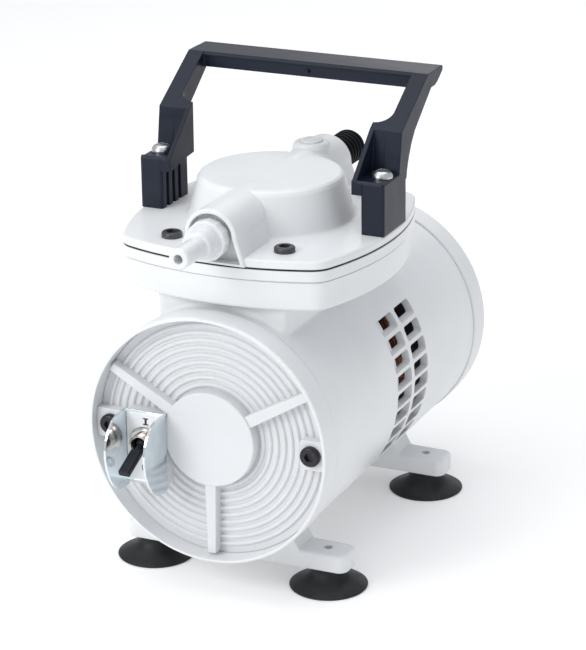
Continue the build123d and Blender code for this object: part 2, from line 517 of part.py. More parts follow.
fi = fillet(box(-5.6, 5.6, 52.5, 70.5, 169.2, 169.75).edges().filter_by(Axis.Z).group_by(Axis.Y)[0], 4.0)
emit("intake_valve_flap", fi)
ki = box(-7.0, 7.0, 69.3, 71.5, 167.9, 168.9) + box(-7.0, -6.1, 69.3, 71.5, 168.8, 169.85) + box(6.1, 7.0, 69.3, 71.5, 168.8, 169.85)
emit("intake_flap_keeper", ki)
fe = fillet(box(-5.6, 5.6, 80.6, 98.6, 172.05, 172.6).edges().filter_by(Axis.Z).group_by(Axis.Y)[-1], 4.0)
emit("exhaust_valve_flap", fe)
ke = box(-7.4, 7.4, 79.2, 81.8, 172.9, 173.9) + box(-7.4, -6.1, 79.2, 81.8, 171.95, 173) + box(6.1, 7.4, 79.2, 81.8, 171.95, 173)
emit("exhaust_flap_keeper", ke)

# inlet spigot: threaded shank, neck, faceted collar, stepped barrel, hose spigot
inl = spin_y([(0, 27.5), (4.7, 27.5), (4.95, 15.35), (7.6, 15.35), (7.6, 4.9), (7.1, 4.6), (6.6, -2.9), (6.2, -3.6),
              (5.0, -4.0), (5.0, TIP_Y + 1.2), (4.4, TIP_Y), (0, TIP_Y)], 0, Z_PORT)
facets = [(9.6 * math.cos(math.radians(30 * k)), Z_PORT + 9.6 * math.sin(math.radians(30 * k))) for k in range(12)]
grip_ring = prism_y(facets, 5.0, 10.8) & spin_y([(0, 10.8), (9.1, 10.8), (9.6, 10.3), (9.6, 5.7), (8.8, 5.0), (0, 5.0)], 0, Z_PORT)
inl = inl + grip_ring
inl = inl - ycyl(2.2, TIP_Y - 1, 28, 0, Z_PORT)
emit("inlet_spigot", inl)

# outlet muffler: black ribbed barrel with a domed end, felt inside
MUF0, MUF1 = 2 * HEAD_Y - PORT_Y0 - 4.4, 171.5
prof = [(0, MUF0 - 11.5), (4.7, MUF0 - 11.5), (4.95, MUF0 + 0.05), (8.3, MUF0 + 0.05)]
y = 142.0
while y < 166.5:
    prof += [(8.0, y), (8.55, y + 0.5), (8.55, y + 1.7), (8.0, y + 2.2), (8.0, y + 2.9)]
    y += 3.4
prof += [(8.2, 167.0), (7.6, 169.2), (6.2, 170.8), (4.4, 171.4), (0, 171.5)]
muf = spin_y(prof, 0, Z_PORT)
muf = muf - ycyl(6.6, MUF0 + 4, 167.0, 0, Z_PORT) - ycyl(2.6, MUF0 - 12, MUF0 + 5, 0, Z_PORT)
for k in range(5):
    qx = 3.2 * math.cos(math.radians(72 * k + 90))
    qz = 3.2 * math.sin(math.radians(72 * k + 90))
    muf = muf - ycyl(0.9, 166, 173, qx, Z_PORT + qz)
emit("outlet_muffler", muf)
felt = ycyl(6.4, MUF0 + 4.3, 166.7, 0, Z_PORT) - ycyl(2.4, MUF0 + 4, 160, 0, Z_PORT)
emit("muffler_felt", felt)
pl = spin_z([(0, 179.2), (3.1, 179.2), (3.1, 187.95), (5.4, 187.95), (5.4, 189.2), (4.8, 189.8), (3.6, 189.8), (3.2, 189.4), (0, 189.4)], 0, 122.0)
emit("port_plug", pl)

# ---------------------------------------------------------------- carrying handle
KNEE, BAR_F = (84.6, 209.8), (117.0, 229.3)       # front line of the sloping arm, as (y, z)


def on_slope(s_, d=0.0):
    # point s_ along the arm's front line from the knee, d behind it, as (y, z)
    g = math.atan2(BAR_F[1] - KNEE[1], BAR_F[0] - KNEE[0])
    return KNEE[0] + s_ * math.cos(g) + d * math.sin(g), KNEE[1] + s_ * math.sin(g) - d * math.cos(g)


def handle_side():
    # +X leg: base block, open pocket for the screw, thin inner web, shoulder, sloping arm
    base = box(50.8, 62.3, 62.8, 90.4, Z_PLATE + 0.05, 190.4)
    base = fillet(base.edges().filter_by(Axis.Z), 1.3)
    base = fillet([e for e in base.edges() if e.center().Z > 190.3 and (e.center().Y < 64 or e.center().X > 61)], 0.7)
    lipf = box(46.3, 61.7, 63.0, 64.6, 188.6, 191.2)
    lipf = fillet([e for e in lipf.edges().filter_by(Axis.X) if e.center().Z > 191], 0.75)
    base = base + lipf
    # grooves between the ribs on the inner face of the block
    for gy in (66.8, 73.0, 79.2):
        base = base - box(50.0, 52.0, gy, gy + 3.0, 160, 183.5)
    web = prism_x([(62.8, 184.4), (79.2, 187.0), (88.2, 187.6), (88.4, on_slope(4.4)[1]), KNEE, (64.0, 191.3), (62.8, 190.8)], 46.3, 48.5)
    bridge = prism_x([(62.8, 184.4), (79.2, 187.0), (88.2, 187.6), (88.2, 191), (62.8, 190.2)], 46.3, 51.2)
    back = prism_x([(81.2, 187.6), KNEE, on_slope(4.4), (88.4, 187.6)], 46.5, 60.0)
    # outer part of the shoulder and the arm, one side profile
    side = [(81.2, 189.0), KNEE, BAR_F, (127.5, 229.3), (124.8, 224.6), (122.4, 223.0), (110.5, 214.1), (100.7, 206.7),
            (96.4, 201.4), (93.2, 195.6), (91.2, 190.4), (90.4, 186.0), (81.2, 186.0)]
    arm = prism_x(side, 54.3, 62.3)
    soft = [e for e in arm.edges().filter_by(Axis.X) if 185 < e.center().Z < 205 and e.center().Y > 90]
    arm = fillet(soft, 1.2)
    # flare between the arm and the shoulder, a plate in the slope
    g = math.atan2(BAR_F[1] - KNEE[1], BAR_F[0] - KNEE[0])
    pl_arm = Plane(origin=(0, KNEE[0], KNEE[1]), x_dir=(1, 0, 0), z_dir=(0, -math.sin(g), math.cos(g)))
    n = []
    for k in range(0, 13):
        ph = math.radians(90 * k / 12)
        n.append((46.4 + 7.95 * math.sin(ph), 4.4 + 7.95 * (1 - math.cos(ph))))
    pts = [(56.0, -0.2)] + [(56.0, n[-1][1])] + list(reversed(n)) + [(46.4, -0.2)]
    w = Wire.make_polygon([pl_arm.from_local_coords(Vector(x, s_, 0)) for x, s_ in pts], close=True)
    flare = extrude(Face(w), amount=2.8, dir=(0, math.sin(g), -math.cos(g)))
    flare = flare - box(46, 50.4, 88.4, 95, 200, 212.0)
    return base + web + bridge + back + arm + flare


leg_r = handle_side()
leg_l = mirror(leg_r, about=Plane.YZ)
bar = prism_x([(116.3, 221.8), (116.3, 228.4), (117.2, 229.3), (135.0, 229.3), (136.1, 228.3), (135.4, 226.6), (129.5, 223.0), (126.0, 221.8)], -62.1, 62.1)
grip = leg_r + bar + leg_l
# recessed front face of the bar and finger channel below
grip = grip - box(-53.6, 53.6, 115.0, 117.3, 221.0, 227.4)
grip = grip - box(-51.0, 51.0, 119.4, 127.0, 220.0, 225.6)
for s in (1, -1):
    grip = grip - zcyl(2.5, 160, 195, s * GRIP_SCREW[0], GRIP_SCREW[1])
emit("carrying_handle", grip)

gs = []
for s in (1, -1):
    hx, hy = s * GRIP_SCREW[0], GRIP_SCREW[1]
    h = spin_z([(0, 190.5), (5.0, 190.5), (5.0, 191.4), (4.75, 192.3), (4.1, 193.2), (3.0, 193.8), (1.6, 194.1), (0, 194.2)], hx, hy)
    h = h - Pos(hx, hy, 193.8) * Rot(0, 0, 35) * (Box(5.2, 1.0, 1.8) + Box(1.0, 5.2, 1.8))
    gs.append(h + zcyl(2.0, 150, 190.6, hx, hy))
emit("handle_screws", *gs)

# ---------------------------------------------------------------- suction feet
def foot(x, y):
    # thin suction cup with a hollow underside, neck and pressed-in nipple
    top = Edge.make_spline([Vector(x + r, y, z) for r, z in ((18.6, 0.75), (16.2, 2.2), (12.6, 4.0), (9.9, 5.9), (8.5, 7.9), (8.1, 10.45))])
    low = Edge.make_spline([Vector(x + r, y, z) for r, z in ((16.9, 0.0), (13.2, 1.9), (8.0, 3.7), (0.0, 4.5))])
    rest = Wire.make_polygon([Vector(x + r, y, z) for r, z in ((8.1, 10.45), (3.9, 10.45), (3.9, 14.6), (3.3, 15.6), (0, 15.6), (0, 4.5))], close=False)
    flat = Edge.make_line(Vector(x + 16.9, y, 0.0), Vector(x + 17.9, y, 0.0))
    rim = Edge.make_three_point_arc(Vector(x + 17.9, y, 0.0), Vector(x + 18.413, y, 0.2231), Vector(x + 18.6, y, 0.75))
    return revolve(Face(Wire([top, low, flat, rim] + list(rest.edges()))), axis=Axis((x, y, 0), (0, 0, 1)))


NAMES = {(1, 0): "foot_front_right", (-1, 0): "foot_front_left", (1, 1): "foot_rear_right", (-1, 1): "foot_rear_left"}
for (s, k), nm in NAMES.items():
    emit("suction_" + nm, foot(s * FOOT_X, FOOT_YS[k]))

# ---------------------------------------------------------------- electrical parts inside the front
CAP_X, CAP_Z, R_CAP = 17.0, 51.5, 15.0
capm = ycyl(R_CAP, 22, 58, CAP_X, CAP_Z)
capm = fillet(capm.edges().filter_by(GeomType.CIRCLE), 1.2)
capm = capm + box(CAP_X - 7, CAP_X - 1, 15, 22.5, CAP_Z - 0.4, CAP_Z + 0.4) + box(CAP_X + 1, CAP_X + 7, 15, 22.5, CAP_Z - 0.4, CAP_Z + 0.4)
emit("run_capacitor", capm)
clip = ycyl(R_CAP + 1.2, 34, 46, CAP_X, CAP_Z) - ycyl(R_CAP + 0.1, 33, 47, CAP_X, CAP_Z)
clip = clip + box(CAP_X - 5, CAP_X + 5, 34, 46, 25.6, CAP_Z - R_CAP - 0.4)
clip = clip & ycyl(R_IN - 0.1, 30, 50)
emit("capacitor_clip", clip)


def wire(pts, r, rad):
    path = FilletPolyline(*[Vector(*p) for p in pts], radius=rad)
    pl0 = Plane(origin=path @ 0, z_dir=path % 0)
    return sweep(pl0 * Circle(r), path=path)


wires = []
wx, wz = polar(49, 195)
for i, (dz, ox, oz) in enumerate(((-9, 0.0, -1.9), (0, -0.2, 1.0), (9, 1.9, 2.6))):
    xw, zw = wx + ox, wz + oz
    pts = [(SW_X, 42.4, SW_Z + dz), (SW_X, 52.0, SW_Z + dz), (xw, 66.0, zw), (xw, 116.0, zw), (xw + 3.0, 125.7, zw + 1.0)]
    wires.append(wire(pts, 0.85, 4.0))
emit("switch_lead_wires", *wires)

# cord grommet, low on the -X side; its bore is empty
gr = Pos(R_BODY, 0, 0) * Rot(0, 90, 0) * (Cylinder(6.0, 9.0) + Pos(0, 0, 2.2) * Cylinder(8.0, 2.2) - Cylinder(3.6, 30))
emit("cord_grommet", GROM * gr)
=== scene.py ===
import json
import math

import bmesh
import bpy
import numpy as np
from mathutils import Matrix, Vector


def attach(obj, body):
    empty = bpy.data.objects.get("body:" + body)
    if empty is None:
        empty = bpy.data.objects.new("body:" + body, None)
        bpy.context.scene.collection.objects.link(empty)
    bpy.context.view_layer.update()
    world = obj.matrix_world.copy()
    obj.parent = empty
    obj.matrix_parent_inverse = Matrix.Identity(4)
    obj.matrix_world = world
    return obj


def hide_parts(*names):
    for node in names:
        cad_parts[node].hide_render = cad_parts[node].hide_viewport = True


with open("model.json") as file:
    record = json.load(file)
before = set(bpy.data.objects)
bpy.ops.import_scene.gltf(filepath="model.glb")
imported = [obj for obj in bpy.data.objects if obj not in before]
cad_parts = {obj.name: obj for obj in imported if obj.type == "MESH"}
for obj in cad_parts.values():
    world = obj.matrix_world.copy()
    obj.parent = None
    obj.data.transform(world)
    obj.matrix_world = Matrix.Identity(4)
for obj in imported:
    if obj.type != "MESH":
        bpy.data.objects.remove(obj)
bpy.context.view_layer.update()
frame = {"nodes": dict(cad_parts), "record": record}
nodes = frame["nodes"]
scene = bpy.context.scene

YS = -0.0916          # the drawing's front rim plane in this frame
SHAFT_Z = 78.5        # shaft height, mm


# ------------------------------------------------------------------ node helpers
class Tree:
    """A material's node tree, with short calls to add and join nodes."""

    def __init__(self, name):
        self.mat = bpy.data.materials.new(name)
        self.mat.use_nodes = True
        self.t = self.mat.node_tree
        self.t.nodes.clear()
        self.out = self.t.nodes.new("ShaderNodeOutputMaterial")
        self.bsdf = self.t.nodes.new("ShaderNodeBsdfPrincipled")
        self.t.links.new(self.bsdf.outputs[0], self.out.inputs[0])
        self.coord = self.t.nodes.new("ShaderNodeTexCoord").outputs["Object"]

    def add(self, kind, **values):
        n = self.t.nodes.new(kind)
        for k, v in values.items():
            if hasattr(n, k):
                setattr(n, k, v)
            else:
                n.inputs[k.replace("_", " ")].default_value = v
        return n

    def link(self, a, b):
        self.t.links.new(a, b)

    def stretch(self, scale, rotation=(0, 0, 0)):
        m = self.add("ShaderNodeMapping")
        m.inputs["Scale"].default_value = scale
        m.inputs["Rotation"].default_value = rotation
        self.link(self.coord, m.inputs["Vector"])
        return m.outputs[0]

    def noise(self, scale, detail=2.0, rough=0.5, vector=None, distort=0.0):
        n = self.add("ShaderNodeTexNoise")
        n.inputs["Scale"].default_value = scale
        n.inputs["Detail"].default_value = detail
        n.inputs["Roughness"].default_value = rough
        n.inputs["Distortion"].default_value = distort
        self.link(vector or self.coord, n.inputs["Vector"])
        return n.outputs["Fac"]

    def voronoi(self, scale, feature="F1", vector=None):
        n = self.add("ShaderNodeTexVoronoi", feature=feature)
        n.inputs["Scale"].default_value = scale
        self.link(vector or self.coord, n.inputs["Vector"])
        return n.outputs["Distance"]

    def ramp(self, fac, stops):
        n = self.add("ShaderNodeValToRGB")
        e = n.color_ramp.elements
        while len(e) < len(stops):
            e.new(0.5)
        for k, (p, c) in enumerate(stops):
            e[k].position = p
            c = (c, c, c) if isinstance(c, (int, float)) else c
            e[k].color = (*c, 1.0)
        self.link(fac, n.inputs[0])
        return n.outputs[0]

    def span(self, fac, lo, hi, a=0.0, b=1.0):
        n = self.add("ShaderNodeMapRange")
        for k, v in (("From Min", lo), ("From Max", hi), ("To Min", a), ("To Max", b)):
            n.inputs[k].default_value = v
        self.link(fac, n.inputs[0])
        return n.outputs[0]

    def math(self, op, a, b=None):
        n = self.add("ShaderNodeMath", operation=op)
        for k, v in enumerate((a, b)):
            if v is None:
                continue
            if isinstance(v, (int, float)):
                n.inputs[k].default_value = v
            else:
                self.link(v, n.inputs[k])
        return n.outputs[0]

    def mix(self, fac, a, b, mode="MIX"):
        n = self.add("ShaderNodeMix", data_type="RGBA", blend_type=mode)
        for sock, v in ((n.inputs[0], fac), (n.inputs[6], a), (n.inputs[7], b)):
            if isinstance(v, (int, float)):
                sock.default_value = v
            elif isinstance(v, tuple):
                sock.default_value = (*v[:3], 1.0)
            else:
                self.link(v, sock)
        return n.outputs[2]

    def bump(self, height, distance, strength=1.0, normal=None):
        n = self.add("ShaderNodeBump")
        n.inputs["Strength"].default_value = strength
        n.inputs["Distance"].default_value = distance
        self.link(height, n.inputs["Height"])
        if normal is not None:
            self.link(normal, n.inputs["Normal"])
        return n.outputs[0]

    def soft_edges(self, radius, samples=6):
        n = self.add("ShaderNodeBevel", samples=samples)
        n.inputs["Radius"].default_value = radius
        return n.outputs[0]

    def color(self, v):
        if isinstance(v, tuple):
            self.bsdf.inputs["Base Color"].default_value = (*v, 1.0)
        else:
            self.link(v, self.bsdf.inputs["Base Color"])

    def rough(self, v):
        if isinstance(v, (int, float)):
            self.bsdf.inputs["Roughness"].default_value = v
        else:
            self.link(v, self.bsdf.inputs["Roughness"])

    def normal(self, v):
        self.link(v, self.bsdf.inputs["Normal"])

    def set(self, **values):
        for k, v in values.items():
            self.bsdf.inputs[k.replace("_", " ")].default_value = v


def painted_casting(name, base, edge=0.0006):
    """Powder-coated aluminium: soft sheen, fine orange peel, faint shade changes."""
    t = Tree(name)
    broad = t.noise(28, 3, 0.55)
    fine = t.noise(900, 2, 0.5)
    a = tuple(c * 0.965 for c in base)
    b = tuple(min(1, c * 1.015) for c in base)
    col = t.mix(t.span(broad, 0.3, 0.7), a, b)
    specks = t.ramp(t.voronoi(420), [(0.0, 0.90), (0.035, 0.97), (0.06, 1.0)])
    col = t.mix(0.25, col, specks, "MULTIPLY")
    t.color(col)
    t.rough(t.math("ADD", t.span(broad, 0.2, 0.8, 0.30, 0.38), t.span(fine, 0.3, 0.7, -0.02, 0.03)))
    peel = t.math("ADD", t.noise(620, 2, 0.45), t.math("MULTIPLY", t.noise(170, 1, 0.4), 1.2))
    t.normal(t.bump(peel, 0.00006, 0.55, t.soft_edges(edge)))
    t.set(IOR=1.5, Coat_Weight=0.12, Coat_Roughness=0.2)
    return t.mat


def moulded_white(name, base, edge=0.0003):
    """Injection-moulded white plastic with a hint of depth."""
    t = Tree(name)
    broad = t.noise(22, 2, 0.5)
    a = tuple(c * 0.97 for c in base)
    t.color(t.mix(t.span(broad, 0.3, 0.7), a, base))
    grain = t.noise(1500, 2, 0.6)
    t.rough(t.span(t.noise(60, 3, 0.6), 0.25, 0.75, 0.36, 0.46))
    t.normal(t.bump(grain, 0.00003, 0.5, t.soft_edges(edge)))
    t.set(IOR=1.49, Subsurface_Weight=0.12, Subsurface_Scale=0.0015)
    t.bsdf.inputs["Subsurface Radius"].default_value = (1.0, 0.95, 0.9)
    return t.mat


def nylon(name, base):
    """Milky natural nylon, light goes some way into it."""
    t = Tree(name)
    cloud = t.noise(140, 3, 0.6, distort=0.6)
    a = tuple(c * 0.955 for c in base)
    t.color(t.mix(t.span(cloud, 0.3, 0.75), a, base))
    t.rough(t.span(t.noise(300, 2, 0.5), 0.3, 0.7, 0.26, 0.36))
    t.normal(t.bump(t.noise(380, 2, 0.5), 0.00005, 0.6, t.soft_edges(0.0004)))
    t.set(IOR=1.53, Subsurface_Weight=0.55, Subsurface_Scale=0.004, Coat_Weight=0.15, Coat_Roughness=0.15)
    t.bsdf.inputs["Subsurface Radius"].default_value = (1.0, 0.96, 0.9)
    return t.mat


def glass_filled(name, base, edge=0.0005, r0=0.30, r1=0.42, spec=0.5):
    """Glass-filled black plastic: satin skin, faint flow streaks and scuffs."""
    t = Tree(name)
    flow = t.noise(1.0, 4, 0.6, t.stretch((26, 90, 90)), distort=0.8)
    a = tuple(c * 0.8 for c in base)
    b = tuple(c * 1.35 for c in base)
    t.color(t.mix(t.span(flow, 0.3, 0.7), a, b))
    scuff = t.noise(1.0, 5, 0.75, t.stretch((900, 60, 60), (0.2, 0.5, 0.9)))
    t.rough(t.math("ADD", t.span(flow, 0.25, 0.75, r0, r1), t.span(scuff, 0.62, 0.8, 0.0, 0.10)))
    grain = t.noise(1700, 2, 0.6)
    t.normal(t.bump(grain, 0.00004, 0.45, t.soft_edges(edge)))
    t.set(IOR=1.52, Specular_IOR_Level=spec)
    return t.mat


def rubber(name, base):
    """Moulded rubber: matt with a dull sheen, a dusting of pale bloom."""
    t = Tree(name)
    bloom = t.noise(75, 5, 0.65)
    a = base
    b = tuple(min(1, c * 2.1 + 0.004) for c in base)
    t.color(t.mix(t.span(bloom, 0.45, 0.75), a, b))
    t.rough(t.span(t.noise(120, 4, 0.6), 0.3, 0.7, 0.42, 0.60))
    t.normal(t.bump(t.noise(700, 3, 0.6), 0.00005, 0.6, t.soft_edges(0.0003)))
    t.set(IOR=1.5, Specular_IOR_Level=0.34, Sheen_Weight=0.05, Sheen_Roughness=0.4)
    return t.mat


def sheet_zinc(name, base, r0=0.16, r1=0.30, streak=(40, 900, 900), metal=1.0, edge=0.0002):
    """Bright zinc plating over rolled sheet: fine lines, cloudy patches."""
    t = Tree(name)
    lines = t.noise(1.0, 3, 0.6, t.stretch(streak))
    cloud = t.noise(90, 3, 0.55, distort=0.5)
    a = tuple(c * 0.86 for c in base)
    b = (base[0], base[1], min(1.0, base[2] * 1.04))
    t.color(t.mix(t.span(cloud, 0.3, 0.7), a, b))
    t.rough(t.math("ADD", t.span(cloud, 0.3, 0.7, r0, r1), t.span(lines, 0.4, 0.7, -0.03, 0.05)))
    h = t.math("ADD", t.math("MULTIPLY", lines, 0.4), t.noise(230, 2, 0.5))
    t.normal(t.bump(h, 0.00005, 0.6, t.soft_edges(edge)))
    t.set(Metallic=metal)
    return t.mat


def black_screw(name, base=(0.026, 0.026, 0.032)):
    """Black-oxide steel, slightly oily, worn a little lighter in spots."""
    t = Tree(name)
    worn = t.noise(520, 4, 0.7)
    t.color(t.mix(t.span(worn, 0.55, 0.8), base, tuple(c * 3.0 for c in base)))
    t.rough(t.span(t.noise(300, 3, 0.6), 0.3, 0.7, 0.28, 0.42))
    t.normal(t.bump(t.noise(1300, 2, 0.6), 0.00003, 0.6, t.soft_edges(0.0002)))
    t.set(Metallic=0.55)
    return t.mat


def machined(name, base, r0=0.24, r1=0.36):
    """Turned or ground metal with fine ring marks about the shaft line."""
    t = Tree(name)
    lines = t.noise(1.0, 3, 0.6, t.stretch((120, 1500, 120)))
    t.color(t.mix(t.span(lines, 0.3, 0.7), tuple(c * 0.88 for c in base), base))
    t.rough(t.span(lines, 0.3, 0.7, r0, r1))
    t.normal(t.bump(lines, 0.00003, 0.5, t.soft_edges(0.0002)))
    t.set(Metallic=1.0)
    return t.mat


def laminated(name):
    """Stacked silicon-steel laminations, lines across the stack."""
    t = Tree(name)
    lines = t.noise(1.0, 1, 0.4, t.stretch((8, 2000, 8)))
    rust = t.noise(160, 4, 0.65)
    col = t.mix(t.span(lines, 0.35, 0.65), (0.10, 0.10, 0.105), (0.26, 0.26, 0.27))
    col = t.mix(t.span(rust, 0.6, 0.85, 0.0, 0.35), col, (0.16, 0.09, 0.05))
    t.color(col)
    t.rough(t.span(lines, 0.3, 0.7, 0.40, 0.58))
    t.normal(t.bump(lines, 0.0001, 0.8))
    t.set(Metallic=0.85)
    return t.mat


def enamel_copper(name):
    """Enamelled magnet wire, laid round the bore in bundles."""
    t = Tree(name)
    turns = t.noise(1.0, 2, 0.5, t.stretch((700, 700, 700)), distort=1.5)
    col = t.mix(t.span(turns, 0.3, 0.7), (0.085, 0.020, 0.009), (0.30, 0.095, 0.042))
    t.color(col)
    t.rough(t.span(turns, 0.3, 0.7, 0.22, 0.34))
    t.normal(t.bump(turns, 0.0003, 0.9))
    t.set(Metallic=0.5, Coat_Weight=0.35, Coat_Roughness=0.12)
    return t.mat


def felt_mat(name):
    t = Tree(name)
    fib = t.noise(1.0, 5, 0.8, t.stretch((1400, 300, 900)), distort=2.0)
    t.color(t.mix(t.span(fib, 0.3, 0.7), (0.52, 0.50, 0.45), (0.74, 0.72, 0.66)))
    t.rough(0.92)
    t.normal(t.bump(fib, 0.0004, 0.9))
    t.set(Sheen_Weight=0.4)
    return t.mat


def printed_label(name):
    t = Tree(name)
    g = t.noise(1100, 3, 0.6)
    t.color(t.mix(t.span(g, 0.3, 0.7), (0.86, 0.87, 0.89), (0.92, 0.92, 0.93)))
    t.rough(t.span(t.noise(400, 2, 0.5), 0.3, 0.7, 0.22, 0.30))
    t.normal(t.bump(g, 0.00002, 0.5))
    t.set(Coat_Weight=0.25, Coat_Roughness=0.1)
    return t.mat


def iron_cast(name):
    t = Tree(name)
    g = t.noise(600, 4, 0.65)
    t.color(t.mix(t.span(g, 0.3, 0.7), (0.12, 0.12, 0.125), (0.28, 0.28, 0.285)))
    t.rough(t.span(g, 0.3, 0.7, 0.42, 0.6))
    t.normal(t.bump(g, 0.0001, 0.7))
    t.set(Metallic=0.9)
    return t.mat


WHITE = (0.79, 0.80, 0.812)
M = {
    "white_casting": painted_casting("white_casting", WHITE),
    "white_cover": moulded_white("white_cover", (0.735, 0.745, 0.76)),
    "white_nylon": nylon("white_nylon", (0.77, 0.785, 0.80)),
    "black_plastic": glass_filled("black_plastic", (0.0062, 0.0102, 0.0225), edge=0.0007, r0=0.28, r1=0.40, spec=0.25),
    "grey_plastic": glass_filled("grey_plastic", (0.05, 0.05, 0.055)),
    "black_rubber": rubber("black_rubber", (0.0085, 0.009, 0.0105)),
    "diaphragm_rubber": rubber("diaphragm_rubber", (0.010, 0.010, 0.012)),
    "zinc_plate": sheet_zinc("zinc_plate", (0.80, 0.87, 0.885), 0.10, 0.20),
    "nickel": sheet_zinc("nickel", (0.70, 0.64, 0.58), 0.10, 0.2, (300, 300, 300)),
    "black_steel": black_screw("black_steel"),
    "bright_steel": machined("bright_steel", (0.64, 0.65, 0.66)),
    "lamination_steel": laminated("lamination_steel"),
    "copper_wire": enamel_copper("copper_wire"),
    "bare_aluminium": machined("bare_aluminium", (0.72, 0.73, 0.74), 0.3, 0.42),
    "iron": iron_cast("iron"),
    "spring_steel": machined("spring_steel", (0.50, 0.53, 0.58), 0.14, 0.24),
    "white_label": printed_label("white_label"),
    "felt": felt_mat("felt"),
    "wire_insulation": glass_filled("wire_insulation", (0.012, 0.012, 0.014), 0.0002, 0.2, 0.3),
}

DARKER = {
    "outlet_muffler": glass_filled("muffler_black", (0.0040, 0.0046, 0.0062), r0=0.48, r1=0.60, spec=0.06),
    # head screws: a lighter copy of the black oxide, painted sheen for the light on their upward-facing tops
    "head_screws": black_screw("oxide_with_painted_sheen", (0.070, 0.069, 0.075)),
    "toggle_lever": glass_filled("lever_black", (0.0050, 0.0062, 0.0120), edge=0.0004, spec=0.24),
}
slot_of = {s["node"]: s["material_slot"] for s in frame["record"]["subparts"]}
for name, ob in nodes.items():
    ob.data.materials.clear()
    ob.data.materials.append(DARKER.get(name, M[slot_of[name]]))


# ------------------------------------------------------------------ generic I and O marks
def flat_mark(name, loops, x, z, y, thick):
    """Thin printed mark: closed loops of points in X and Z, pushed out along Y."""
    bm = bmesh.new()
    for loop, hole in loops:
        front, rear = [], []
        for px, pz in loop:
            front.append(bm.verts.new((x + px, y - thick, z + pz)))
            rear.append(bm.verts.new((x + px, y, z + pz)))
        n = len(front)
        if hole is None:
            bm.faces.new(front)
            bm.faces.new(list(reversed(rear)))
            for k in range(n):
                bm.faces.new((front[k], rear[k], rear[(k + 1) % n], front[(k + 1) % n]))
        else:
            fi = [bm.verts.new((x + px, y - thick, z + pz)) for px, pz in hole]
            ri = [bm.verts.new((x + px, y, z + pz)) for px, pz in hole]
            for k in range(n):
                j = (k + 1) % n
                bm.faces.new((front[k], front[j], fi[j], fi[k]))
                bm.faces.new((rear[k], ri[k], ri[j], rear[j]))
                bm.faces.new((front[k], rear[k], rear[j], front[j]))
                bm.faces.new((fi[k], fi[j], ri[j], ri[k]))
    bmesh.ops.recalc_face_normals(bm, faces=bm.faces)
    me = bpy.data.meshes.new(name)
    bm.to_mesh(me)
    bm.free()
    ob = bpy.data.objects.new(name, me)
    scene.collection.objects.link(ob)
    me.materials.append(ink)
    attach(ob, "pump_body")
    return ob


ti = Tree("mark_ink")
ti.color(ti.mix(ti.span(ti.noise(900, 3, 0.6), 0.3, 0.7), (0.012, 0.012, 0.014), (0.03, 0.03, 0.034)))
ti.rough(ti.span(ti.noise(700, 2, 0.5), 0.3, 0.7, 0.35, 0.5))
ink = ti.mat

mm = 0.001
serif = [(-1.35, 1.75), (1.35, 1.75), (1.35, 1.15), (0.55, 1.15), (0.55, -1.15), (1.35, -1.15), (1.35, -1.75), (-1.35, -1.75),
         (-1.35, -1.15), (-0.55, -1.15), (-0.55, 1.15), (-1.35, 1.15)]
flat_mark("mark_on", [([(a * mm, b * mm) for a, b in reversed(serif)], None)], -30.9 * mm, 83.6 * mm, 0.85 * mm + YS, 0.05 * mm)
circ = [(2.0 * mm * math.cos(2 * math.pi * k / 40), 2.5 * mm * math.sin(2 * math.pi * k / 40)) for k in range(40)]
hole = [(1.3 * mm * math.cos(2 * math.pi * k / 40), 1.8 * mm * math.sin(2 * math.pi * k / 40)) for k in range(40)]
flat_mark("mark_off", [(circ, hole)], -31.6 * mm, 60.5 * mm, 0.85 * mm + YS, 0.05 * mm)

# ------------------------------------------------------------------ finer pieces
def grid_piece(name, rings, closed_profile, material, body, smooth=True):
    """Surface from equal rings of points; each ring is closed, the last joins the first if asked."""
    n = len(rings[0])
    verts = [v for ring in rings for v in ring]
    faces = []
    m = len(rings)
    for i in range(m if closed_profile else m - 1):
        j = (i + 1) % m
        for k in range(n):
            l = (k + 1) % n
            faces.append((i * n + k, i * n + l, j * n + l, j * n + k))
    me = bpy.data.meshes.new(name)
    me.from_pydata(verts, [], faces)
    bm = bmesh.new()
    bm.from_mesh(me)
    bmesh.ops.recalc_face_normals(bm, faces=bm.faces)
    bm.to_mesh(me)
    bm.free()
    if smooth:
        me.polygons.foreach_set("use_smooth", [True] * len(me.polygons))
    ob = bpy.data.objects.new(name, me)
    scene.collection.objects.link(ob)
    me.materials.append(material)
    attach(ob, body)
    return ob


# toggle bushing with a real helical thread in place of the plain one
SWX, SWZ = -31.5, 74.0
PITCH, CREST, ROOT = 0.95, 4.9, 4.42
prof = [(2.0, 12.1), (2.0, 4.5), (3.45, 2.5), (3.45, -2.0), (2.9, -3.2), (3.6, -4.5), (4.25, -5.8), (4.42, -5.74)]
ys = [-5.6 + PITCH * k / 8 for k in range(int((12.0 + 5.6) / PITCH * 8))]
SEG = 72
rings = []
for r, y in prof:
    rings.append([((SWX + r * math.cos(2 * math.pi * k / SEG)) * mm, y * mm + YS, (SWZ + r * math.sin(2 * math.pi * k / SEG)) * mm) for k in range(SEG)])
for y in ys:
    ring = []
    for k in range(SEG):
        ph = (y / PITCH - k / SEG) % 1.0
        tooth = min(1.0, max(0.0, 1.35 - abs(ph - 0.5) * 3.4))
        ease = min(1.0, max(0.0, (y + 5.6) / 0.7))
        r = ROOT + (CREST - ROOT) * tooth * ease
        a = 2 * math.pi * k / SEG
        ring.append(((SWX + r * math.cos(a)) * mm, y * mm + YS, (SWZ + r * math.sin(a)) * mm))
    rings.append(ring)
rings.append([((SWX + 4.4 * math.cos(2 * math.pi * k / SEG)) * mm, 12.1 * mm + YS, (SWZ + 4.4 * math.sin(2 * math.pi * k / SEG)) * mm) for k in range(SEG)])
bushing = grid_piece("bushing_thread", rings, True, M["nickel"], "pump_body")
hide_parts("toggle_bushing")


